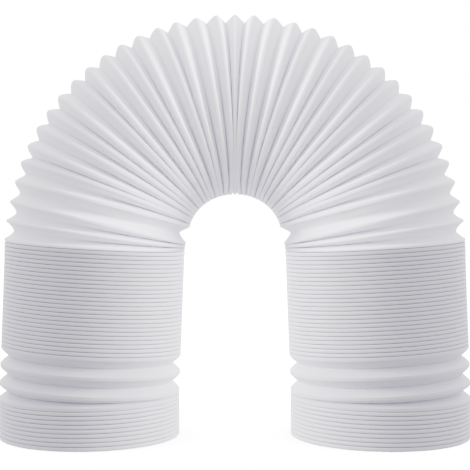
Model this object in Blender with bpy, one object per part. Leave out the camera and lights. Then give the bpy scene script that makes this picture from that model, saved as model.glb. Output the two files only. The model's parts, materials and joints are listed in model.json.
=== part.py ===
"""Exhaust hose of a portable air conditioner, bent into an arch on its two ends.

The hose is one moulded piece of thin plastic, folded into ring-shaped pleats.
It is made here as a chain of rings: one ring on the crest of each pleat and one
in the root between two crests, lofted into an outer and an inner wall.
The chain starts on the floor under the left end, climbs the left leg, bends
over the arch and comes down to the floor at the right end.

Units are metres, +Z is up, and the hose is seen from the front along +Y.
"""

import math

import bmesh
import bpy
from mathutils import Matrix, Vector

NAME = "exhaust_hose"
NODE = "pleated_hose"

# Section of the hose.
CREST_DIAMETER = 0.150
WALL = 0.0005
FLANK = 0.0103
MITER_LIMIT = 2.5
CLOSED_GROOVE = 0.0028
SIDES = 18

# How far the pleats are drawn open, from one crest to the next.
CLOSED_PITCH = 0.0034
COLLAR_OUTER_OPENING = 0.0134
COLLAR_INNER_OPENING = 0.0046
LEG_OPENING = 0.0152
ARCH_FOOT_OPENING = 0.0156
ARCH_TOP_OPENING = 0.0172
WIDE_OUTER_OPENING = 0.0170
WIDE_INNER_OPENING = 0.0151

# Numbers of pleats on each side, from the floor to the middle of the arch.
COLLAR_PLEATS = 9
LEG_PLEATS = 2
STACK_PLEATS = 26
ARCH_PLEATS_BELOW_WIDE = 2
ARCH_PLEATS_ABOVE_WIDE = 15

# The rings of a leg slip sideways, so its middle line takes only a share of their tilt.
LEG_FOLLOW = 0.67

# The middle line leans a little out of its upright plane: to the front in the
# stack, and to the back in the arch.
STACK_LEAN = math.radians(2.4)
ARCH_LEAN = math.radians(-1.2)
LEAN_CHANGE_SHARE = 0.1
LEAN_FADE_SHARE = 0.2

# The rings of the arch lean on their own, more towards the top, and rock to and fro.
RING_FOOT_LEAN = math.radians(-0.4)
RING_TOP_LEAN = math.radians(-3.7)
RING_CHANGE_PLEATS = 3
ROCK_ANGLE = math.radians(1.4)
ROCK_PLEATS = 2.5
ROCK_START = 0.25

COLOUR = (0.80, 0.80, 0.83, 1.0)
ROUGHNESS = 0.42

CREST_RADIUS = CREST_DIAMETER / 2


def bend_of(outer, inner):
    """Angle between two neighbouring crests that stand open by outer and inner."""
    return 2 * math.asin((outer - inner) / (2 * CREST_DIAMETER))


def arch_pleats():
    """Pleats of one side of the arch, whose equal bends end at a quarter turn."""
    collar_bend = bend_of(COLLAR_OUTER_OPENING, COLLAR_INNER_OPENING)
    wide_bend = bend_of(WIDE_OUTER_OPENING, WIDE_INNER_OPENING)
    count = ARCH_PLEATS_BELOW_WIDE + ARCH_PLEATS_ABOVE_WIDE
    bend = (math.pi / 2 - collar_bend - wide_bend) / count
    pleats = []
    for index in range(count + 1):
        if index == ARCH_PLEATS_BELOW_WIDE:
            pleats.append((WIDE_OUTER_OPENING, WIDE_INNER_OPENING, False))
            continue
        outer = ARCH_FOOT_OPENING + (ARCH_TOP_OPENING - ARCH_FOOT_OPENING) * index / count
        inner = outer - 2 * CREST_DIAMETER * math.sin(bend / 2)
        pleats.append((outer, inner, False))
    return pleats


def side_pleats():
    """Pleats of one side as (outer opening, inner opening, closed), floor to top."""
    closed = (CLOSED_PITCH, CLOSED_PITCH, True)
    collar_top = (COLLAR_OUTER_OPENING, COLLAR_INNER_OPENING, False)
    leg = (LEG_OPENING, LEG_OPENING, False)
    return (
        [closed] * COLLAR_PLEATS
        + [collar_top]
        + [leg] * LEG_PLEATS
        + [closed] * STACK_PLEATS
        + arch_pleats()
    )


STACK_FOOT = COLLAR_PLEATS + 1 + LEG_PLEATS
STACK_HEAD = STACK_FOOT + STACK_PLEATS


def stack_lean(crest):
    """Lean to the front at a crest of the leg, growing through the closed stack."""
    return STACK_LEAN * max(crest - STACK_FOOT, 0) / STACK_PLEATS


def path_lean(crest, side_crests):
    """Lean of the middle line at a crest of one side."""
    if crest <= STACK_HEAD:
        return stack_lean(crest)
    share = (crest - STACK_HEAD) / (side_crests - STACK_HEAD)
    change = min(share / LEAN_CHANGE_SHARE, 1.0)
    fade = min((1.0 - share) / LEAN_FADE_SHARE, 1.0)
    return (STACK_LEAN + (ARCH_LEAN - STACK_LEAN) * change) * fade


def ring_lean(crest, side_crests):
    """Lean of the ring itself at a crest of one side. The top ring stands upright."""
    if crest <= STACK_HEAD:
        return stack_lean(crest)
    if crest == side_crests:
        return 0.0
    number = crest - STACK_HEAD
    share = number / (side_crests - STACK_HEAD)
    rock = ROCK_ANGLE * math.cos(2 * math.pi * (number - ROCK_START) / ROCK_PLEATS)
    lean = RING_FOOT_LEAN + (RING_TOP_LEAN - RING_FOOT_LEAN) * share + rock
    change = min(number / RING_CHANGE_PLEATS, 1.0)
    return STACK_LEAN + (lean - STACK_LEAN) * change


def path_turn(turn, pleat):
    """Turn of the middle line at a pleat counted from the nearer end of the hose."""
    if pleat >= STACK_HEAD:
        return turn
    if turn < math.pi / 2:
        return turn * LEG_FOLLOW
    return math.pi - (math.pi - turn) * LEG_FOLLOW


def direction(turn, lean):
    """Way along the hose where it has turned by turn and leans forward by lean."""
    return Vector((
        math.sin(turn) * math.cos(lean),
        -math.sin(lean),
        math.cos(turn) * math.cos(lean),
    ))


def ring_frame(centre, turn, lean):
    """Matrix of a ring: local X to the outside of the bend, local Z along the hose."""
    along = direction(turn, lean)
    outside = Vector((-math.cos(turn), 0.0, math.sin(turn)))
    across = along.cross(outside)
    frame = Matrix((outside, across, along)).transposed().to_4x4()
    frame.translation = centre
    return frame


def both_sides(half):
    """Leans of the whole hose from those of one side, which the other side mirrors."""
    return half + [-lean for lean in reversed(half[:-1])]


def crest_frames():
    """Frames of all crests from the left end to the right, and which pleats are closed."""
    half = side_pleats()
    crests = range(len(half) + 1)
    path_leans = both_sides([path_lean(crest, len(half)) for crest in crests])
    ring_leans = both_sides([ring_lean(crest, len(half)) for crest in crests])
    pleats = half + half[::-1]
    centre = Vector((0.0, 0.0, CLOSED_PITCH / 2))
    turn = 0.0
    frames = [ring_frame(centre, turn, ring_leans[0])]
    for index, (outer, inner, _) in enumerate(pleats):
        bend = bend_of(outer, inner)
        way = path_turn(turn + bend / 2, min(index, len(pleats) - 1 - index))
        lean = (path_leans[index] + path_leans[index + 1]) / 2
        centre = centre + direction(way, lean) * (outer + inner) / 2
        turn = turn + bend
        frames.append(ring_frame(centre, turn, ring_leans[index + 1]))
    return frames, [closed for _, _, closed in pleats]


def on_circle(frame, angle, radius):
    """Point at an angle round a frame, where 0 is the outside of the bend."""
    return frame @ Vector((radius * math.cos(angle), radius * math.sin(angle), 0.0))


def opening_at(lower, upper, angle):
    """How far two neighbouring crests stand apart at an angle."""
    gap = on_circle(upper, angle, CREST_RADIUS) - on_circle(lower, angle, CREST_RADIUS)
    return gap.length


def between_crests(lower, upper, angle, depth):
    """Point midway between two neighbouring crests, set in by depth."""
    start = on_circle(lower, angle, CREST_RADIUS)
    end = on_circle(upper, angle, CREST_RADIUS)
    middle = (start + end) / 2
    along = (end - start).normalized()
    inward = (lower.translation + upper.translation) / 2 - middle
    inward = (inward - along * inward.dot(along)).normalized()
    return middle + inward * depth


def root_depth(opening):
    """How far a root lies inside the crests when its pleat stands open this far."""
    return math.sqrt(FLANK ** 2 - (opening / 2) ** 2)


def wall_offset(opening):
    """Radial step from a fold's outer wall to its inner wall."""
    return min(2 * WALL * FLANK / opening, MITER_LIMIT * WALL)


CLOSED_BORE = CREST_RADIUS - root_depth(CLOSED_PITCH) - wall_offset(CLOSED_PITCH)


def add_ring(mesh, point_at):
    """Add a ring of points, given as a function of the angle, and return them."""
    angles = [2 * math.pi * side / SIDES for side in range(SIDES)]
    return [mesh.verts.new(point_at(angle)) for angle in angles]


def add_circle(mesh, frame, radius):
    """Add a round ring of points and return them."""
    return add_ring(mesh, lambda angle: on_circle(frame, angle, radius))


def add_loft(mesh, rings):
    """Loft one wall through a row of rings.

    Each ring is a pair: its points, and whether it lies on a crest. The strips
    of both walls are split on the same diagonals, so the walls never cross.
    """
    for (lower, lower_crest), (upper, upper_crest) in zip(rings, rings[1:]):
        for side in range(SIDES):
            follower = (side + 1) % SIDES
            back = side < SIDES // 2
            rising = back if lower_crest or not upper_crest else not back
            corners = (lower[side], lower[follower], upper[follower], upper[side])
            first = 0 if rising else 1
            quad = corners[first:] + corners[:first]
            mesh.faces.new(quad[0:3])
            mesh.faces.new((quad[0], quad[2], quad[3]))


def outer_rings(mesh, frames, closed, floor_frames):
    """Rings of the outer wall, from the left end to the right end."""
    groove_radius = CREST_RADIUS - CLOSED_GROOVE
    rings = [(add_circle(mesh, floor_frames[0], groove_radius), False)]
    for index, lower in enumerate(frames):
        rings.append((add_circle(mesh, lower, CREST_RADIUS), True))
        if index == len(closed):
            break
        upper = frames[index + 1]

        def root_at(angle, lower=lower, upper=upper, is_closed=closed[index]):
            if is_closed:
                return between_crests(lower, upper, angle, CLOSED_GROOVE)
            depth = root_depth(opening_at(lower, upper, angle))
            return between_crests(lower, upper, angle, depth)

        rings.append((add_ring(mesh, root_at), False))
    rings.append((add_circle(mesh, floor_frames[1], groove_radius), False))
    return rings


def inner_rings(mesh, frames, closed, floor_frames):
    """Rings of the inner wall: straight behind closed pleats, folded behind open ones."""
    rings = [(add_circle(mesh, floor_frames[0], CLOSED_BORE), False)]
    for index, frame in enumerate(frames):
        closed_before = index == 0 or closed[index - 1]
        closed_after = index == len(closed) or closed[index]
        neighbour = frames[index - 1] if closed_after else frames[index + 1]

        def crest_at(angle, frame=frame, neighbour=neighbour):
            offset = wall_offset(opening_at(frame, neighbour, angle))
            return on_circle(frame, angle, CREST_RADIUS - offset)

        if closed_before and not closed_after:
            rings.append((add_circle(mesh, frame, CLOSED_BORE), False))
        if not (closed_before and closed_after):
            rings.append((add_ring(mesh, crest_at), True))
        if closed_after and not closed_before:
            rings.append((add_circle(mesh, frame, CLOSED_BORE), False))
        if closed_after:
            continue

        def root_at(angle, lower=frame, upper=frames[index + 1]):
            opening = opening_at(lower, upper, angle)
            depth = root_depth(opening) + wall_offset(opening)
            return between_crests(lower, upper, angle, depth)

        rings.append((add_ring(mesh, root_at), False))
    rings.append((add_circle(mesh, floor_frames[1], CLOSED_BORE), False))
    return rings


def white_plastic():
    """Satin white plastic of the hose."""
    material = bpy.data.materials.new("white_plastic")
    material.use_nodes = True
    shader = material.node_tree.nodes["Principled BSDF"]
    shader.inputs["Base Color"].default_value = COLOUR
    shader.inputs["Roughness"].default_value = ROUGHNESS
    shader.inputs["Metallic"].default_value = 0.0
    return material


def make_hose():
    """Loft both walls, close both ends with a flat rim and set the arch in the middle."""
    frames, closed = crest_frames()
    left, right = frames[0], frames[-1]
    down = Matrix.Translation((0.0, 0.0, -CLOSED_PITCH / 2))
    floor_frames = (down @ left, down @ right)
    mesh = bmesh.new()
    outer = outer_rings(mesh, frames, closed, floor_frames)
    inner = inner_rings(mesh, frames, closed, floor_frames)
    add_loft(mesh, outer)
    add_loft(mesh, inner)
    for end in (0, -1):
        add_loft(mesh, [outer[end], inner[end]])
    middle = (left.translation + right.translation) / 2
    depth = [vert.co.y for vert in mesh.verts]
    shift = Vector((-middle.x, -(min(depth) + max(depth)) / 2, 0.0))
    bmesh.ops.translate(mesh, verts=mesh.verts[:], vec=shift)
    bmesh.ops.recalc_face_normals(mesh, faces=mesh.faces[:])

    data = bpy.data.meshes.new(NODE)
    mesh.to_mesh(data)
    mesh.free()
    data.polygons.foreach_set("use_smooth", [True] * len(data.polygons))
    data.set_sharp_from_angle(angle=math.radians(30))
    data.materials.append(white_plastic())
    return bpy.data.objects.new(NODE, data)


def main():
    """Clear the scene and put the hose in a collection of its own."""
    for old in list(bpy.data.objects):
        bpy.data.objects.remove(old, do_unlink=True)
    collection = bpy.data.collections.new(NAME)
    bpy.context.scene.collection.children.link(collection)
    collection.objects.link(make_hose())


main()
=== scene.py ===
"""Looks of a pleated exhaust hose that stands as an arch on its two open ends.

The hose is one tube of thin white plastic, folded into ring-shaped pleats. Three
pleats are modelled: a closed one, an open one and the lower half of the one at
the top. Each crest of the hose gets a copy of one of them, which is opened, bent
and tilted to fill the room between its neighbours, and the copies are joined,
merged and given their wall.
The course of the hose repeats the named values of the part's own source.

Units are metres, +Z is up, and the hose is seen from the front along +Y.
"""

import json
import logging
import math
from dataclasses import dataclass, field
from enum import Enum

import bpy
import numpy as np
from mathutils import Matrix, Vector

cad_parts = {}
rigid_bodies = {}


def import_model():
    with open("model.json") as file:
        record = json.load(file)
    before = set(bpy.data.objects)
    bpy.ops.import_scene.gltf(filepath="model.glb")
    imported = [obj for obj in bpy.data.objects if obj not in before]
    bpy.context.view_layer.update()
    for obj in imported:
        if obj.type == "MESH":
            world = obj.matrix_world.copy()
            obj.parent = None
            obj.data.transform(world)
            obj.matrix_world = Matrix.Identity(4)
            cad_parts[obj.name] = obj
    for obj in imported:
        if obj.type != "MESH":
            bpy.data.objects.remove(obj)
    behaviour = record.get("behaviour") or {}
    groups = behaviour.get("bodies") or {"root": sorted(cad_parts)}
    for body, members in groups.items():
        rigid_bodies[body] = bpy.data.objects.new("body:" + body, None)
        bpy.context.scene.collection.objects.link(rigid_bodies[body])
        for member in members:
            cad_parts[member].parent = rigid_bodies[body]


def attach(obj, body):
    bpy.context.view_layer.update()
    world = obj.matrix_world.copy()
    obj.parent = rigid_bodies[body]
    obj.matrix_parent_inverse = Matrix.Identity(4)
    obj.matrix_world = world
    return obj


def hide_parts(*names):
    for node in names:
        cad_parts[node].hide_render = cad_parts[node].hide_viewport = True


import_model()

NODE = "pleated_hose"

# Numbers of the Mix node's colour sockets, whose names its other sockets share.
MIX_SHARE, MIX_FIRST, MIX_SECOND, MIX_RESULT = 0, 6, 7, 2

Colour = tuple[float, float, float, float]

logging.basicConfig(level=logging.INFO, format="%(message)s")
log = logging.getLogger("exhaust_hose")


class Lay(Enum):
    """How a pleat lies."""

    CLOSED = "closed"
    OPEN = "open"


@dataclass(frozen=True)
class Opening:
    """How far one pleat is drawn open, from one crest to the next."""

    outer: float
    inner: float
    lay: Lay = Lay.OPEN

    def bend(self, diameter: float) -> float:
        """Angle between the two crests of the pleat."""
        return 2 * math.asin((self.outer - self.inner) / (2 * diameter))

    def middle(self) -> float:
        """Opening on the middle line of the hose."""
        return (self.outer + self.inner) / 2


@dataclass(frozen=True)
class Ring:
    """One crest: its middle, and its ways to the outside, across and along the hose."""

    centre: np.ndarray
    outside: np.ndarray
    across: np.ndarray
    along: np.ndarray
    radius: float

    def radial(self, angles: np.ndarray) -> np.ndarray:
        """Unit vectors from the middle of the ring at each angle."""
        return np.outer(np.cos(angles), self.outside) + np.outer(np.sin(angles), self.across)

    def points(self, angles: np.ndarray) -> np.ndarray:
        """Points of the crest at each angle."""
        return self.centre + self.radius * self.radial(angles)

    def moved(self, distance: float) -> "Ring":
        """The same ring further along the hose."""
        centre = self.centre + distance * self.along
        return Ring(centre, self.outside, self.across, self.along, self.radius)


@dataclass
class Course:
    """The way of the hose from the left end over the arch to the right end."""

    crest_diameter: float = 0.150
    closed_pitch: float = 0.0034
    collar_top: Opening = Opening(0.0134, 0.0046)
    leg: Opening = Opening(0.0152, 0.0152)
    wide: Opening = Opening(0.0170, 0.0151)
    arch_foot_opening: float = 0.0156
    arch_top_opening: float = 0.0172
    collar_pleats: int = 9
    leg_pleats: int = 2
    stack_pleats: int = 26
    arch_pleats_below_wide: int = 2
    arch_pleats_above_wide: int = 15
    leg_follow: float = 0.67
    stack_lean: float = math.radians(2.4)
    arch_lean: float = math.radians(-1.2)
    lean_change_share: float = 0.1
    lean_fade_share: float = 0.2
    ring_foot_lean: float = math.radians(-0.4)
    ring_top_lean: float = math.radians(-3.7)
    ring_change_pleats: int = 3
    rock_angle: float = math.radians(1.4)
    rock_pleats: float = 2.5
    rock_start: float = 0.25
    box_samples: int = 72

    def stack_foot(self) -> int:
        """Number of the crest at the foot of the closed stack."""
        return self.collar_pleats + 1 + self.leg_pleats

    def stack_head(self) -> int:
        """Number of the crest at the head of the closed stack."""
        return self.stack_foot() + self.stack_pleats

    def arch_openings(self) -> list[Opening]:
        """Pleats of one side of the arch, whose bends end at a quarter turn.

        Returns:
            The openings from the foot of the arch to its middle.
        """
        diameter = self.crest_diameter
        count = self.arch_pleats_below_wide + self.arch_pleats_above_wide
        left = math.pi / 2 - self.collar_top.bend(diameter) - self.wide.bend(diameter)
        narrower = 2 * diameter * math.sin(left / count / 2)
        openings = []
        for index in range(count + 1):
            if index == self.arch_pleats_below_wide:
                openings.append(self.wide)
                continue
            rise = (self.arch_top_opening - self.arch_foot_opening) * index / count
            outer = self.arch_foot_opening + rise
            openings.append(Opening(outer, outer - narrower))
        return openings

    def side_openings(self) -> list[Opening]:
        """Pleats of one side, from the floor to the middle of the arch."""
        closed = Opening(self.closed_pitch, self.closed_pitch, Lay.CLOSED)
        return (
            [closed] * self.collar_pleats
            + [self.collar_top]
            + [self.leg] * self.leg_pleats
            + [closed] * self.stack_pleats
            + self.arch_openings()
        )

    def stack_lean_at(self, crest: int) -> float:
        """Lean to the front at a crest of the leg, growing through the closed stack."""
        return self.stack_lean * max(crest - self.stack_foot(), 0) / self.stack_pleats

    def path_lean_at(self, crest: int, side_crests: int) -> float:
        """Lean of the middle line at a crest of one side.

        Args:
            crest: Number of the crest from the floor.
            side_crests: Number of pleats on one side.

        Returns:
            The lean towards the viewer, in radians.
        """
        head = self.stack_head()
        if crest <= head:
            return self.stack_lean_at(crest)
        share = (crest - head) / (side_crests - head)
        change = min(share / self.lean_change_share, 1.0)
        fade = min((1.0 - share) / self.lean_fade_share, 1.0)
        return (self.stack_lean + (self.arch_lean - self.stack_lean) * change) * fade

    def ring_lean_at(self, crest: int, side_crests: int) -> float:
        """Lean of the ring itself at a crest of one side.

        Args:
            crest: Number of the crest from the floor.
            side_crests: Number of pleats on one side.

        Returns:
            The lean towards the viewer, in radians. The top ring stands upright.
        """
        head = self.stack_head()
        if crest <= head:
            return self.stack_lean_at(crest)
        if crest == side_crests:
            return 0.0
        number = crest - head
        share = number / (side_crests - head)
        rock = self.rock_angle * math.cos(
            2 * math.pi * (number - self.rock_start) / self.rock_pleats
        )
        lean = self.ring_foot_lean + (self.ring_top_lean - self.ring_foot_lean) * share + rock
        change = min(number / self.ring_change_pleats, 1.0)
        return self.stack_lean + (lean - self.stack_lean) * change

    def path_turn(self, turn: float, pleat: int) -> float:
        """Turn of the middle line at a pleat, which slips against its rings in a leg.

        Args:
            turn: Turn of the rings at the pleat.
            pleat: Number of the pleat from the nearer end of the hose.

        Returns:
            The turn of the middle line, in radians.
        """
        if pleat >= self.stack_head():
            return turn
        if turn < math.pi / 2:
            return turn * self.leg_follow
        return math.pi - (math.pi - turn) * self.leg_follow

    def direction(self, turn: float, lean: float) -> np.ndarray:
        """Way along the hose where it has turned by turn and leans forward by lean."""
        level = math.cos(lean)
        return np.array((math.sin(turn) * level, -math.sin(lean), math.cos(turn) * level))

    def ring(self, centre: np.ndarray, turn: float, lean: float) -> Ring:
        """The ring that stands square to a direction at a point.

        Args:
            centre: The middle of the ring.
            turn: How far the hose has turned over to the right, in radians.
            lean: How far it leans towards the viewer, in radians.

        Returns:
            The ring.
        """
        along = self.direction(turn, lean)
        outside = np.array((-math.cos(turn), 0.0, math.sin(turn)))
        return Ring(centre, outside, np.cross(along, outside), along, self.crest_diameter / 2)

    def both_sides(self, half: list[float]) -> list[float]:
        """Leans of the whole hose from those of one side, which the other side mirrors."""
        return half + [-lean for lean in reversed(half[:-1])]

    def rings(self) -> tuple[list[Ring], list[Opening]]:
        """Walk along the hose and set a ring on each crest.

        Returns:
            All rings from the left end to the right end, and the pleats between them.
        """
        half = self.side_openings()
        count = len(half)
        crests = range(count + 1)
        path_leans = self.both_sides([self.path_lean_at(crest, count) for crest in crests])
        ring_leans = self.both_sides([self.ring_lean_at(crest, count) for crest in crests])
        openings = half + half[::-1]
        centre = np.array((0.0, 0.0, self.closed_pitch / 2))
        turn = 0.0
        rings = [self.ring(centre, turn, ring_leans[0])]
        for index, opening in enumerate(openings):
            bend = opening.bend(self.crest_diameter)
            lean = (path_leans[index] + path_leans[index + 1]) / 2
            way = self.path_turn(turn + bend / 2, min(index, len(openings) - 1 - index))
            centre = centre + self.direction(way, lean) * opening.middle()
            turn += bend
            rings.append(self.ring(centre, turn, ring_leans[index + 1]))
        return self.centred(rings), openings

    def centred(self, rings: list[Ring]) -> list[Ring]:
        """Move the hose to the middle of its own box.

        Args:
            rings: All rings of the hose.

        Returns:
            The same rings in their new places.
        """
        angles = np.linspace(0.0, 2 * math.pi, self.box_samples, endpoint=False)
        depth = np.concatenate([ring.points(angles)[:, 1] for ring in rings])
        middle = (rings[0].centre + rings[-1].centre) / 2
        shift = np.array((-middle[0], -(depth.min() + depth.max()) / 2, 0.0))
        return [
            Ring(ring.centre + shift, ring.outside, ring.across, ring.along, ring.radius)
            for ring in rings
        ]


@dataclass(frozen=True)
class Fold:
    """Form of one flank of a pleat, as shares of the flank.

    The cap rounds it next to the crest and the root rounds it next to the root.
    Its slope is summed up over a number of samples.
    """

    cap: float = 0.0
    root: float = 0.0
    samples: int = 400

    def depth(self, share: np.ndarray) -> np.ndarray:
        """Depth of the flank below the crest.

        Args:
            share: Places on the flank, 0 at the crest and 1 at the root.

        Returns:
            The depth at each place, 0 at the crest and 1 at the root.
        """
        steps = np.linspace(0.0, 1.0, self.samples + 1)
        middles = (steps[1:] + steps[:-1]) / 2
        rounded_cap = middles / np.sqrt(middles ** 2 + self.cap ** 2)
        rounded_root = (1 - middles) / np.sqrt((1 - middles) ** 2 + self.root ** 2)
        depth = np.concatenate(((0.0,), np.cumsum(rounded_cap * rounded_root)))
        return np.interp(share, steps, depth / depth[-1])


@dataclass(frozen=True)
class RoundEdge:
    """Section of a crest on one side: an arc from the crest's top to its turn."""

    radius: float
    turns: tuple[float, ...]

    def points(self) -> list[tuple[float, float]]:
        """Pairs of half width and depth, without the crest's top."""
        turns = np.radians(self.turns)
        return list(zip(self.radius * np.sin(turns), self.radius * (1 - np.cos(turns))))


@dataclass
class PleatPattern:
    """One pleat as it lies closed, round the Z axis.

    Its lower flank goes from the crest towards the end of the hose, and its
    upper flank towards the top of the arch. Where the next crest is nearer than
    the bulge gap, the flanks bulge until no more than the touch is left between
    them.
    """

    flank_steps: tuple[float, ...]
    has_upper: bool = True
    radius: float = 0.075
    flank: float = 0.0103
    half_pitch: float = 0.0017
    touch: float = 0.00003
    bulge_gap: float = 0.0115
    least_depth: float = 0.0001
    least_width: float = 0.000001
    lower_edge: RoundEdge = RoundEdge(0.00125, (25.0, 50.0, 75.0, 100.0, 125.0, 150.0))
    upper_edge: RoundEdge = RoundEdge(0.0016, (25.0, 50.0, 70.0, 90.0))
    upper_width: float = 0.0016
    sides: int = 72

    def closed_depth(self) -> float:
        """Depth of the root below the crest when the pleat lies closed."""
        return math.sqrt(self.flank ** 2 - self.half_pitch ** 2)

    def side_profile(self, edge: RoundEdge, width: float) -> list[tuple[float, float]]:
        """Points of one flank, from the crest to the root.

        Args:
            edge: Form of the crest on this side.
            width: Least half width of the flank under it.

        Returns:
            Pairs of height over the crest's plane and radius, without the crest.
        """
        points = edge.points()
        for share in self.flank_steps:
            height = self.half_pitch if share == 1.0 else max(share * self.half_pitch, width)
            points.append((height, share * self.closed_depth()))
        return [(height, self.radius - inset) for height, inset in points]

    def profile(self) -> list[tuple[float, float]]:
        """Points of the pleat from its lower root over the crest to its upper root.

        Returns:
            Pairs of height over the crest's plane and radius.
        """
        lower = self.side_profile(self.lower_edge, 0.0)
        upper = self.side_profile(self.upper_edge, self.upper_width) if self.has_upper else []
        below = [(-height, radius) for height, radius in reversed(lower)]
        return below + [(0.0, self.radius)] + upper

    def build(self, name: str) -> bpy.types.Object:
        """Model the pleat: a circle on the lower root, extruded ring by ring.

        Args:
            name: Name of the new object.

        Returns:
            The object, with one loop of points on each point of the profile.
        """
        profile = self.profile()
        deselect_all()
        bpy.ops.mesh.primitive_circle_add(
            vertices=self.sides,
            radius=profile[0][1],
            fill_type="NOTHING",
            location=(0.0, 0.0, profile[0][0]),
        )
        pleat = bpy.context.object
        pleat.name = name
        bpy.ops.object.transform_apply(location=True, rotation=True, scale=True)
        bpy.ops.object.mode_set(mode="EDIT")
        bpy.ops.mesh.select_all(action="SELECT")
        for (height, radius), (next_height, next_radius) in zip(profile, profile[1:]):
            bpy.ops.mesh.extrude_region_move(
                TRANSFORM_OT_translate={"value": (0.0, 0.0, next_height - height)}
            )
            factor = next_radius / radius
            bpy.ops.transform.resize(
                value=(factor, factor, 1.0),
                center_override=(0.0, 0.0, next_height),
            )
        bpy.ops.object.mode_set(mode="OBJECT")
        return pleat


class PleatFitter:
    """Opens, bends and tilts copies of one modelled pleat."""

    def __init__(self, pattern: PleatPattern, source: bpy.types.Object) -> None:
        """Read the shape of the modelled pleat.

        Args:
            pattern: Sizes of the pleat.
            source: The modelled pleat.
        """
        self.pattern = pattern
        self.source = source
        count = len(source.data.vertices)
        flat = np.empty(count * 3)
        source.data.vertices.foreach_get("co", flat)
        points = flat.reshape(count, 3)
        self.angles = np.arctan2(points[:, 1], points[:, 0])
        self.upper = points[:, 2] > pattern.least_width
        self.lower = points[:, 2] < -pattern.least_width
        radius = np.hypot(points[:, 0], points[:, 1])
        self.share = np.clip((pattern.radius - radius) / pattern.closed_depth(), 0.0, 1.0)
        self.half_width = np.abs(points[:, 2])

    def flank(self, ring: Ring, other: Ring, chosen: np.ndarray, fold: Fold) -> np.ndarray:
        """Points of one flank between the crest of ring and the root towards other.

        Args:
            ring: The crest of the pleat.
            other: The neighbouring crest.
            chosen: Mask of the points that lie on this flank.
            fold: Form of the flank, which bulges until it meets the next one
                where the gap is narrow.

        Returns:
            The new places of the chosen points.
        """
        angles = self.angles[chosen]
        share = self.share[chosen][:, None]
        crest = ring.points(angles)
        chord = other.points(angles) - crest
        gap = np.linalg.norm(chord, axis=1, keepdims=True)
        way = chord / gap
        inward = -(ring.radial(angles) + other.radial(angles))
        inward -= way * np.sum(inward * way, axis=1, keepdims=True)
        inward /= np.linalg.norm(inward, axis=1, keepdims=True)
        pattern = self.pattern
        squared = pattern.flank ** 2 - (gap / 2) ** 2
        depth = np.sqrt(np.maximum(squared, pattern.least_depth ** 2))
        spread = np.maximum(gap, pattern.bulge_gap) / 2
        width = np.maximum(spread * share, self.half_width[chosen][:, None])
        width = np.minimum(width, gap / 2 - pattern.touch * (share < 1.0))
        return crest + way * width + inward * depth * fold.depth(share)

    def fitted(
        self, towards_end: Ring, ring: Ring, towards_top: Ring, folds: tuple[Fold, Fold]
    ) -> bpy.types.Object:
        """A copy of the pleat, fitted between two neighbours.

        Args:
            towards_end: The crest next to it towards the end of the hose.
            ring: Its own crest.
            towards_top: The crest next to it towards the top of the arch.
            folds: Rounding of its lower and of its upper flank.

        Returns:
            The new object, with its own mesh.
        """
        places = ring.points(self.angles)
        places[self.lower] = self.flank(ring, towards_end, self.lower, folds[0])
        places[self.upper] = self.flank(ring, towards_top, self.upper, folds[1])
        mesh = self.source.data.copy()
        mesh.vertices.foreach_set("co", places.ravel())
        mesh.update()
        pleat = bpy.data.objects.new(self.source.name, mesh)
        bpy.context.scene.collection.objects.link(pleat)
        return pleat


def deselect_all() -> None:
    """Deselect every object, because operators act on all that is selected."""
    for item in bpy.context.view_layer.objects:
        item.select_set(False)


def select_only(items: list[bpy.types.Object]) -> None:
    """Select some objects alone and make the first one active.

    Args:
        items: The objects.
    """
    deselect_all()
    for item in items:
        item.select_set(True)
    bpy.context.view_layer.objects.active = items[0]


@dataclass(frozen=True)
class Socket:
    """One output of a node, on which shader maths is written as plain Python."""

    graph: "Graph"
    output: bpy.types.NodeSocket

    def maths(self, operation: str, other: "Socket | float") -> "Socket":
        """Add a Math node for this socket and another value.

        Args:
            operation: The Math node's operation.
            other: The other value or socket.

        Returns:
            The socket of the result.
        """
        return self.graph.node("ShaderNodeMath", {"operation": operation}, {0: self, 1: other})

    def __add__(self, other: "Socket | float") -> "Socket":
        """Sum."""
        return self.maths("ADD", other)

    def __mul__(self, other: "Socket | float") -> "Socket":
        """Product."""
        return self.maths("MULTIPLY", other)

    __radd__ = __add__
    __rmul__ = __mul__


class Graph:
    """The node tree of one material or world."""

    def __init__(self, owner: bpy.types.ID, shader: str = "Principled BSDF") -> None:
        """Start from the owner's own tree.

        Args:
            owner: The material or world.
            shader: Name of the shader that is fed in the end.
        """
        owner.use_nodes = True
        self.tree = owner.node_tree
        self.shader = self.tree.nodes[shader]

    def node(
        self,
        kind: str,
        settings: dict[str, object],
        inputs: dict[object, object],
        output: object = 0,
    ) -> Socket:
        """Add a node of any type.

        Args:
            kind: The node's type.
            settings: Its own settings, such as an operation, which are set first.
            inputs: Values or sockets for its inputs, by name or number.
            output: Name or number of the output that is wanted.

        Returns:
            The socket of that output.
        """
        node = self.tree.nodes.new(kind)
        for key, value in settings.items():
            setattr(node, key, value)
        for key, value in inputs.items():
            self.feed(node.inputs[key], value)
        return Socket(self, node.outputs[output])

    def feed(self, target: bpy.types.NodeSocket, value: object) -> None:
        """Link a socket, or set a value, on an input.

        Args:
            target: The input of a node.
            value: The socket or the value.
        """
        if isinstance(value, Socket):
            self.tree.links.new(value.output, target)
        else:
            target.default_value = value

    def mix(self, share: Socket, first: Colour, second: Colour) -> Socket:
        """Mix two colours.

        Args:
            share: Share of the second colour.
            first: The first colour.
            second: The second colour.

        Returns:
            The socket of the mixed colour.
        """
        inputs = {MIX_SHARE: share, MIX_FIRST: first, MIX_SECOND: second}
        return self.node("ShaderNodeMix", {"data_type": "RGBA"}, inputs, MIX_RESULT)

    def finish(self, inputs: dict[str, object]) -> None:
        """Feed the shader."""
        for key, value in inputs.items():
            self.feed(self.shader.inputs[key], value)


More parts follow.
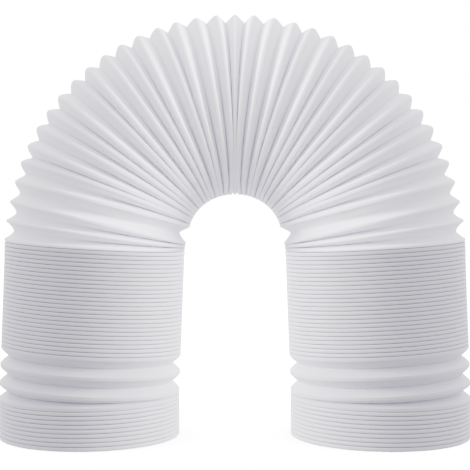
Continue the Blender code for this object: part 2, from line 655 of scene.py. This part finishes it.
@dataclass(frozen=True)
class Grain:
    """One layer of noise on a surface."""

    scale: float
    detail: float = 2.0

    def socket(self, graph: Graph, place: Socket) -> Socket:
        """Add the layer to a graph.

        Args:
            graph: The graph of the material.
            place: The coordinates that the noise reads.

        Returns:
            The socket of the noise, from 0 to 1.
        """
        inputs = {"Vector": place, "Scale": self.scale, "Detail": self.detail}
        return graph.node("ShaderNodeTexNoise", {}, inputs)


@dataclass(frozen=True)
class SatinPlastic:
    """Satin white plastic film with a fine moulded skin and a little dust."""

    name: str = "satin_white_plastic"
    light_colour: Colour = (0.895, 0.88, 0.95, 1.0)
    shade_colour: Colour = (0.855, 0.84, 0.915, 1.0)
    roughness: float = 0.40
    roughness_spread: float = 0.14
    clouds: Grain = Grain(22.0, 4.0)
    specks: Grain = Grain(260.0, 3.0)
    skin: Grain = Grain(900.0)
    cloud_share: float = 0.7
    skin_share: float = 0.6
    skin_depth: float = 0.00006
    skin_strength: float = 0.6
    specular: float = 0.45

    def material(self) -> bpy.types.Material:
        """Build the material.

        Returns:
            The new material, which reads Object coordinates.
        """
        material = bpy.data.materials.new(self.name)
        graph = Graph(material)
        place = graph.node("ShaderNodeTexCoord", {}, {}, "Object")
        clouds = self.clouds.socket(graph, place)
        specks = self.specks.socket(graph, place)
        skin = self.skin.socket(graph, place)
        tone = clouds * self.cloud_share + specks * (1 - self.cloud_share)
        height = skin * self.skin_share + specks * (1 - self.skin_share)
        bump = graph.node(
            "ShaderNodeBump",
            {},
            {"Height": height, "Distance": self.skin_depth, "Strength": self.skin_strength},
        )
        low = self.roughness - self.roughness_spread / 2
        graph.finish({
            "Base Color": graph.mix(tone, self.shade_colour, self.light_colour),
            "Roughness": low + clouds * self.roughness_spread,
            "Normal": bump,
            "Specular IOR Level": self.specular,
        })
        return material


@dataclass(frozen=True)
class PaleFloor:
    """Finish of the studio floor."""

    name: str = "pale_floor"
    light_colour: Colour = (0.90, 0.90, 0.90, 1.0)
    shade_colour: Colour = (0.87, 0.87, 0.87, 1.0)
    clouds: Grain = Grain(3.0)
    roughness: float = 0.9

    def material(self) -> bpy.types.Material:
        """Build the material.

        Returns:
            The new material.
        """
        material = bpy.data.materials.new(self.name)
        graph = Graph(material)
        place = graph.node("ShaderNodeTexCoord", {}, {}, "Object")
        clouds = self.clouds.socket(graph, place)
        mixed = graph.mix(clouds, self.shade_colour, self.light_colour)
        graph.finish({"Base Color": mixed, "Roughness": self.roughness})
        return material


class Kind(Enum):
    """The three pleats that are modelled."""

    CLOSED = "closed_pleat"
    OPEN = "open_pleat"
    TOP_HALF = "top_half_pleat"


@dataclass(frozen=True)
class PleatShapes:
    """Where the flanks of the modelled pleats have their points."""

    closed_steps: tuple[float, ...] = (0.35, 0.85, 1.0)
    open_steps: tuple[float, ...] = (0.28, 0.42, 0.58, 0.74, 0.87, 0.95, 1.0)

    def pattern(self, kind: Kind) -> PleatPattern:
        """Sizes of one kind of pleat."""
        steps = self.closed_steps if kind is Kind.CLOSED else self.open_steps
        return PleatPattern(steps, has_upper=kind is not Kind.TOP_HALF)


@dataclass(frozen=True)
class FlankForm:
    """How one flank of the open pleats changes from the foot of the arch to its top."""

    foot_cap: float
    arch_cap: float
    top_cap: float
    foot_root: float

    def fold(self, rise: float, top: float) -> Fold:
        """Fold of the flank on one pleat.

        Args:
            rise: How far the pleat has left the foot of the arch, from 0 to 1.
            top: How far it has come from the shoulder to the top, from 0 to 1.

        Returns:
            The fold, whose root is rounded only near the foot.
        """
        cap = self.foot_cap + (self.arch_cap - self.foot_cap) * rise
        return Fold(cap + (self.top_cap - self.arch_cap) * top, self.foot_root * (1 - rise))


@dataclass(frozen=True)
class FoldPlan:
    """Form of the lower and the upper flank of each pleat.

    The flanks of the arch change over a few pleats at its foot, and again from
    its shoulder to its top.
    """

    closed: tuple[Fold, Fold] = (Fold(0.10), Fold(0.24))
    leg: tuple[Fold, Fold] = (Fold(0.55), Fold(0.55))
    lower: FlankForm = FlankForm(0.05, 0.55, 0.25, 0.45)
    upper: FlankForm = FlankForm(0.12, 0.70, 0.35, 0.30)
    rise_start: float = 1.5
    rise_pleats: float = 3.0
    shoulder_pleats: float = 13.0

    def folds(self, kind: Kind, crest: int, head: int, count: int) -> tuple[Fold, Fold]:
        """Folds of the two flanks of one pleat.

        Args:
            kind: Which pleat it is.
            crest: Its number from the end of the hose.
            head: Number of the crest at the head of the closed stack.
            count: Number of the crest at the top of the arch.

        Returns:
            The folds of the lower and of the upper flank.
        """
        if kind is Kind.CLOSED:
            return self.closed
        if crest < head:
            return self.leg
        number = crest - head
        past_shoulder = (number - self.shoulder_pleats) / (count - head - self.shoulder_pleats)
        rise = min(max((number - self.rise_start) / self.rise_pleats, 0.0), 1.0)
        top = min(max(past_shoulder, 0.0), 1.0)
        return self.lower.fold(rise, top), self.upper.fold(rise, top)


@dataclass
class HoseRun:
    """One run of pleats that is shown as one piece.

    Its crests are numbered from the end of the hose, and its side is 1 on the
    left, where the course climbs, and -1 on the right.
    """

    name: str
    side: int
    first: int
    last: int
    wall: float = 0.0005
    merge_distance: float = 0.00001
    crease_angle: float = math.radians(38)
    plan: FoldPlan = FoldPlan()
    piece: bpy.types.Object | None = field(default=None, init=False)

    def build(
        self,
        rings: list[Ring],
        openings: list[Opening],
        fitters: dict[Kind, PleatFitter],
        head: int,
    ) -> None:
        """Copy a pleat to each crest, join the copies and give them their wall.

        Args:
            rings: The crests of this side from the end to the top, with one
                more beyond the end.
            openings: The pleats between them.
            fitters: The modelled pleats.
            head: Number of the crest at the head of the closed stack.
        """
        pleats = []
        for crest in range(self.first, self.last + 1):
            towards_top = rings[min(crest + 2, len(rings) - 1)]
            kind = self.kind(crest, openings)
            folds = self.plan.folds(kind, crest, head, len(openings))
            pleats.append(fitters[kind].fitted(rings[crest], rings[crest + 1], towards_top, folds))
        select_only(pleats)
        bpy.ops.object.join()
        self.piece = bpy.context.object
        self.piece.name = self.name
        self.piece.data.name = self.name
        bpy.ops.object.mode_set(mode="EDIT")
        bpy.ops.mesh.select_all(action="SELECT")
        bpy.ops.mesh.remove_doubles(threshold=self.merge_distance)
        bpy.ops.mesh.normals_make_consistent(inside=False)
        bpy.ops.object.mode_set(mode="OBJECT")
        wall = self.piece.modifiers.new("wall", "SOLIDIFY")
        wall.thickness = self.wall
        wall.offset = -1.0
        wall.use_rim = True
        bpy.ops.object.modifier_apply(modifier=wall.name)
        bpy.ops.object.shade_smooth_by_angle(angle=self.crease_angle)

    def is_leg(self) -> bool:
        """Whether the run stands on the floor."""
        return self.first == 0

    def kind(self, crest: int, openings: list[Opening]) -> Kind:
        """Which pleat stands at a crest of this side.

        Args:
            crest: Number of the crest from the end.
            openings: The pleats from the end to the top.

        Returns:
            Its kind, which is closed only where the pleats on both sides are.
        """
        if crest == len(openings):
            return Kind.TOP_HALF
        before = openings[max(crest - 1, 0)].lay
        closed = before == openings[crest].lay == Lay.CLOSED
        return Kind.CLOSED if closed else Kind.OPEN

    def dress(self, finish: bpy.types.Material) -> None:
        """Give the piece its finish and its place in the frame.

        Args:
            finish: The material of the hose.
        """
        self.piece.data.materials.clear()
        self.piece.data.materials.append(finish)
        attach(self.piece, "root")
        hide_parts(NODE)


@dataclass
class Hose:
    """The whole hose: two legs and the two halves of the arch between them."""

    course: Course = field(default_factory=Course)
    shapes: PleatShapes = field(default_factory=PleatShapes)

    def build(self) -> list[HoseRun]:
        """Model the pleats and build the runs from them.

        Returns:
            The runs, from each end to the top.
        """
        rings, openings = self.course.rings()
        pitch = self.course.closed_pitch
        rings = [rings[0].moved(-pitch)] + rings + [rings[-1].moved(pitch)]
        half = len(openings) // 2
        fitters = {}
        for kind in Kind:
            pattern = self.shapes.pattern(kind)
            fitters[kind] = PleatFitter(pattern, pattern.build(kind.value))
        head = self.course.stack_head()
        runs = [
            HoseRun("left_leg_pleats", 1, 0, head - 1),
            HoseRun("left_arch_pleats", 1, head, half),
            HoseRun("right_leg_pleats", -1, 0, head - 1),
            HoseRun("right_arch_pleats", -1, head, half),
        ]
        for run in runs:
            side_rings = rings[::run.side][:half + 2]
            run.build(side_rings, openings[::run.side][:half], fitters, head)
        for fitter in fitters.values():
            bpy.data.objects.remove(fitter.source, do_unlink=True)
        return runs

    def dress(self, runs: list[HoseRun]) -> None:
        """Give every run the same finish.

        Args:
            runs: The finished runs.
        """
        finish = SatinPlastic().material()
        for run in runs:
            run.dress(finish)
            log.info("%s: %d faces", run.name, len(run.piece.data.polygons))


@dataclass(frozen=True)
class Glow:
    """Even pale glow of the backdrop."""

    name: str = "backdrop_glow"
    strength: float = 17.0

    def material(self) -> bpy.types.Material:
        """Build the material.

        Returns:
            The new material.
        """
        material = bpy.data.materials.new(self.name)
        Graph(material).finish({
            "Base Color": (0.0, 0.0, 0.0, 1.0),
            "Specular IOR Level": 0.0,
            "Emission Color": (1.0, 1.0, 1.0, 1.0),
            "Emission Strength": self.strength,
        })
        return material


@dataclass(frozen=True)
class Sky:
    """Soft light from all around, which differs with its direction."""

    name: str = "studio"
    even: float = 1.95
    from_back: float = 1.4
    from_above: float = 0.9
    colour: Colour = (0.98, 0.965, 1.03, 1.0)

    def build(self) -> None:
        """Make the world of the scene."""
        world = bpy.data.worlds.new(self.name)
        graph = Graph(world, "Background")
        way = graph.node("ShaderNodeTexCoord", {}, {}, "Generated")
        back = graph.node("ShaderNodeSeparateXYZ", {}, {"Vector": way}, "Y")
        up = graph.node("ShaderNodeSeparateXYZ", {}, {"Vector": way}, "Z")
        strength = self.even + back * self.from_back + up * self.from_above
        graph.finish({"Color": self.colour, "Strength": strength})
        bpy.context.scene.world = world


def collection_of(name: str, items: list[bpy.types.Object]) -> bpy.types.Collection:
    """Put objects in a new collection, which a light can be linked to.

    Args:
        name: Name of the collection.
        items: Its objects.

    Returns:
        The collection, which isn't itself in the scene.
    """
    group = bpy.data.collections.new(name)
    for item in items:
        group.objects.link(item)
    return group


@dataclass(frozen=True)
class SoftLight:
    """A square soft light that faces the hose."""

    name: str
    place: tuple[float, float, float]
    aim: tuple[float, float, float]
    size: float
    power: float

    def build(self, lit: list[bpy.types.Object], blockers: list[bpy.types.Object]) -> None:
        """Hang the light.

        Args:
            lit: The only pieces that it lights.
            blockers: The only pieces that stop it, or none where all of them do.
        """
        light = bpy.data.lights.new(self.name, "AREA")
        light.size = self.size
        light.energy = self.power
        lamp = bpy.data.objects.new(self.name, light)
        lamp.location = self.place
        way = Vector(self.aim) - Vector(self.place)
        lamp.rotation_euler = way.to_track_quat("-Z", "Y").to_euler()
        bpy.context.scene.collection.objects.link(lamp)
        lamp.light_linking.receiver_collection = collection_of(self.name + "_lit", lit)
        if blockers:
            shade = collection_of(self.name + "_blockers", blockers)
            lamp.light_linking.blocker_collection = shade


@dataclass(frozen=True)
class DomeLight:
    """Even light from half of all directions, round the way it comes from."""

    name: str
    tilt: float
    strength: float

    def build(self, lit: list[bpy.types.Object]) -> None:
        """Set up the light.

        Args:
            lit: The only pieces that it lights.
        """
        light = bpy.data.lights.new(self.name, "SUN")
        light.energy = self.strength
        light.angle = math.pi
        lamp = bpy.data.objects.new(self.name, light)
        lamp.rotation_euler = (self.tilt, 0.0, 0.0)
        bpy.context.scene.collection.objects.link(lamp)
        lamp.light_linking.receiver_collection = collection_of(self.name + "_lit", lit)


@dataclass
class Studio:
    """Pale floor and backdrop, soft lights and bright surroundings.

    The photo joins one half of a hose to its mirror image, so each side of the
    hose has its own side light. Floor and backdrop are overexposed in the photo
    without lighting the hose, so they have a light and a glow of their own. The
    open pleats are single film that lets light through, and the closed ones are
    not, so the arch has more light than the legs.
    """

    floor_radius: float = 14.0
    floor_sides: int = 96
    backdrop_radius: float = 15.0
    backdrop_rings: int = 24
    floor_light: float = 100.0
    sky: Sky = Sky()
    arch_light: float = 2.5
    arch_light_tilt: float = math.radians(50)
    leg_key: tuple[float, float, float] = (1.95, -0.10, 0.75)
    leg_power: float = 92.0
    arch_key: tuple[float, float, float] = (1.85, -0.35, 0.95)
    arch_power: float = 260.0
    key_size: float = 0.9
    key_aim: tuple[float, float, float] = (-0.1, 0.0, 0.2)

    def build(self, runs: list[HoseRun]) -> None:
        """Build the floor, the backdrop and the lights.

        Args:
            runs: The finished pieces of the hose.
        """
        floor = self.floor()
        self.backdrop()
        self.sky.build()
        DomeLight("floor_light", 0.0, self.floor_light).build([floor])
        arch = [run.piece for run in runs if not run.is_leg()]
        DomeLight("arch_light", self.arch_light_tilt, self.arch_light).build(arch)
        for run in runs:
            self.key(run, [other.piece for other in runs if other.side == run.side])

    def key(self, run: HoseRun, same_side: list[bpy.types.Object]) -> None:
        """Hang the main light of one run, towards the middle of the picture.

        Args:
            run: The run that it lights.
            same_side: The pieces on the same side of the hose. A leg's light
                comes from the side and passes the other half.
        """
        place = self.leg_key if run.is_leg() else self.arch_key
        power = self.leg_power if run.is_leg() else self.arch_power
        mirror = Vector((run.side, 1.0, 1.0))
        key = SoftLight(
            name=run.name + "_key",
            place=tuple(Vector(place) * mirror),
            aim=tuple(Vector(self.key_aim) * mirror),
            size=self.key_size,
            power=power,
        )
        key.build([run.piece], same_side if run.is_leg() else [])

    def floor(self) -> bpy.types.Object:
        """Build the floor, which does not reflect on the hose.

        Returns:
            The floor.
        """
        deselect_all()
        bpy.ops.mesh.primitive_circle_add(
            vertices=self.floor_sides,
            radius=self.floor_radius,
            fill_type="NGON",
            location=(0.0, 0.0, 0.0),
        )
        floor = bpy.context.object
        floor.name = "floor"
        floor.data.materials.append(PaleFloor().material())
        self.hide_from_light(floor)
        return floor

    def backdrop(self) -> None:
        """Build the backdrop, a wide dome round the hose."""
        deselect_all()
        bpy.ops.mesh.primitive_uv_sphere_add(
            segments=2 * self.backdrop_rings,
            ring_count=self.backdrop_rings,
            radius=self.backdrop_radius,
            location=(0.0, 0.0, 0.0),
        )
        dome = bpy.context.object
        dome.name = "backdrop"
        dome.data.materials.append(Glow().material())
        self.hide_from_light(dome)

    def hide_from_light(self, item: bpy.types.Object) -> None:
        """Keep an object from lighting, shading or mirroring in anything else.

        Args:
            item: The object.
        """
        item.visible_diffuse = False
        item.visible_glossy = False
        item.visible_transmission = False
        item.visible_shadow = False


@dataclass
class ViewPoint:
    """Camera at the photograph's place."""

    distance: float = 0.8248
    height: float = 0.1587
    lens: float = 75.0
    sensor: float = 36.0
    shift_up: float = 0.0224
    sight: float = 200.0

    def build(self) -> None:
        """Add the camera, level and square to the arch."""
        camera = bpy.data.cameras.new("view")
        camera.lens = self.lens
        camera.sensor_width = self.sensor
        camera.shift_y = self.shift_up
        camera.clip_end = self.sight
        holder = bpy.data.objects.new("view", camera)
        holder.location = (0.0, -self.distance, self.height)
        holder.rotation_euler = (math.radians(90), 0.0, 0.0)
        bpy.context.scene.collection.objects.link(holder)
        bpy.context.scene.camera = holder


def main() -> None:
    """Build everything in order."""
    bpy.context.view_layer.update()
    ViewPoint().build()
    hose = Hose()
    runs = hose.build()
    hose.dress(runs)
    Studio().build(runs)


if __name__ == "__main__":
    main()
